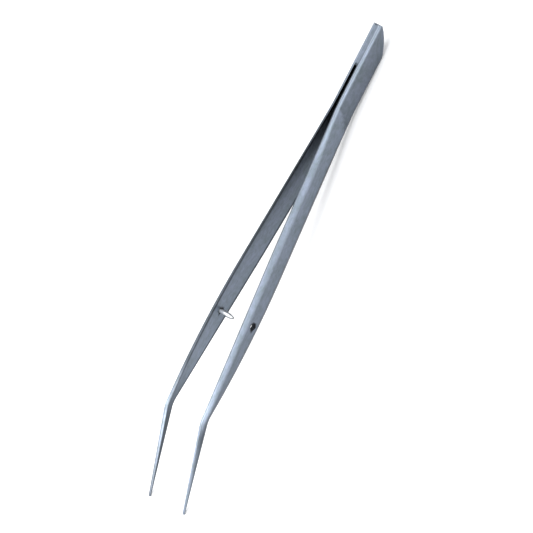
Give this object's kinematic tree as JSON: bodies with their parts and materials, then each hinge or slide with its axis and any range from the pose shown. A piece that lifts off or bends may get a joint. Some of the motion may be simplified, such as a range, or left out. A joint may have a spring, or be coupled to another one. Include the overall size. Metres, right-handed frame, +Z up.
{
  "type": "precision tweezers",
  "caption": "Slender steel tweezers: bevelled spring arms on a welded spacer, fine tips bent down edgewise, and a guide pin that enters a hole in the other arm as they close.",
  "frame": {"origin": "middle of the tool's length and width, on the surface that it rests on with its tips and the head's lower corner", "axes": "+X towards the welded head, +Y towards the arm that carries the guide pin, +Z up, away from the side that the tips bend to"},
  "size_m": [0.1568, 0.0162, 0.0136],
  "materials": {
    "satin_steel": "satin, ground lengthwise",
    "bright_steel": "polished"
  },
  "bodies": {
    "head": {"head_spacer": "satin_steel", "hole_arm_heel": "satin_steel", "pin_arm_heel": "satin_steel"},
    "hole_side": {"hole_arm": "satin_steel"},
    "pin_side": {"pin_arm": "satin_steel", "guide_pin": "bright_steel"}
  },
  "joints": [
    {"name": "hole_arm_squeeze", "type": "hinge", "parent": "head", "child": "hole_side", "pos_m": [0.05425, -0.00108, 0.00531], "axis": [-0.06, 0, -0.9982], "range_deg": [0, 2.89], "stiffness_Nm_per_rad": 1.2},
    {"name": "pin_arm_squeeze", "type": "hinge", "parent": "head", "child": "pin_side", "pos_m": [0.05425, 0.00108, 0.00531], "axis": [0.06, 0, 0.9982], "range_deg": [0, 2.89], "stiffness_Nm_per_rad": 1.2}
  ],
  "couplings": [
    {"joint": "hole_arm_squeeze", "follows": "pin_arm_squeeze", "ratio": 1}
  ]
}
